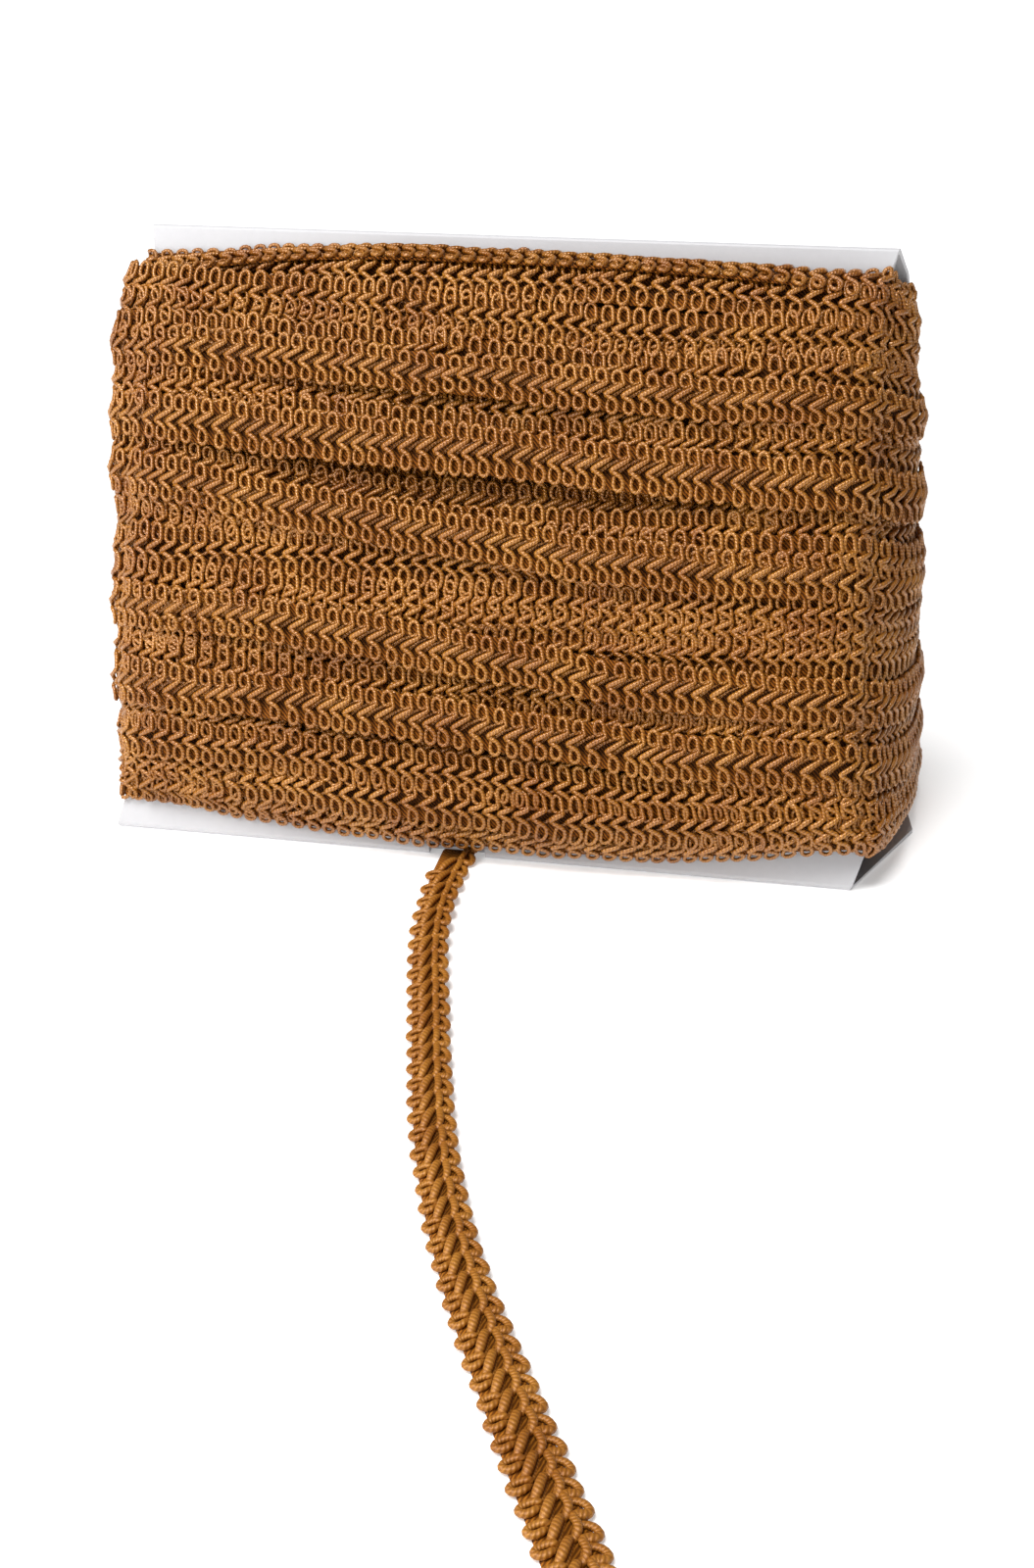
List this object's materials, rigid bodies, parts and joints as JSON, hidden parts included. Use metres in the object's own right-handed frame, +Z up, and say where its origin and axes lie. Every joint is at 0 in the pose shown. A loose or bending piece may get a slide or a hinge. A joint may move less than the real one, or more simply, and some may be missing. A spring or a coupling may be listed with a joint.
{
  "type": "gimp braid trim on a folded card sleeve",
  "caption": "Gimp braid trim wound in slanting layers round a folded card sleeve, its loose end lying in front.",
  "frame": {"origin": "on the underside of the card sleeve's base, in the middle of the sleeve's length and depth", "axes": "+X along the sleeve to the right, +Y to the back, +Z up"},
  "size_m": [0.2015, 0.3055, 0.1365],
  "materials": {
    "white_card": "smooth coated white outside, grey inside",
    "gimp_trim": "golden brown twisted rayon cord with a silky sheen"
  },
  "bodies": {
    "root": {"card": "white_card", "winding": "gimp_trim", "loose_end": "gimp_trim"}
  },
  "joints": []
}
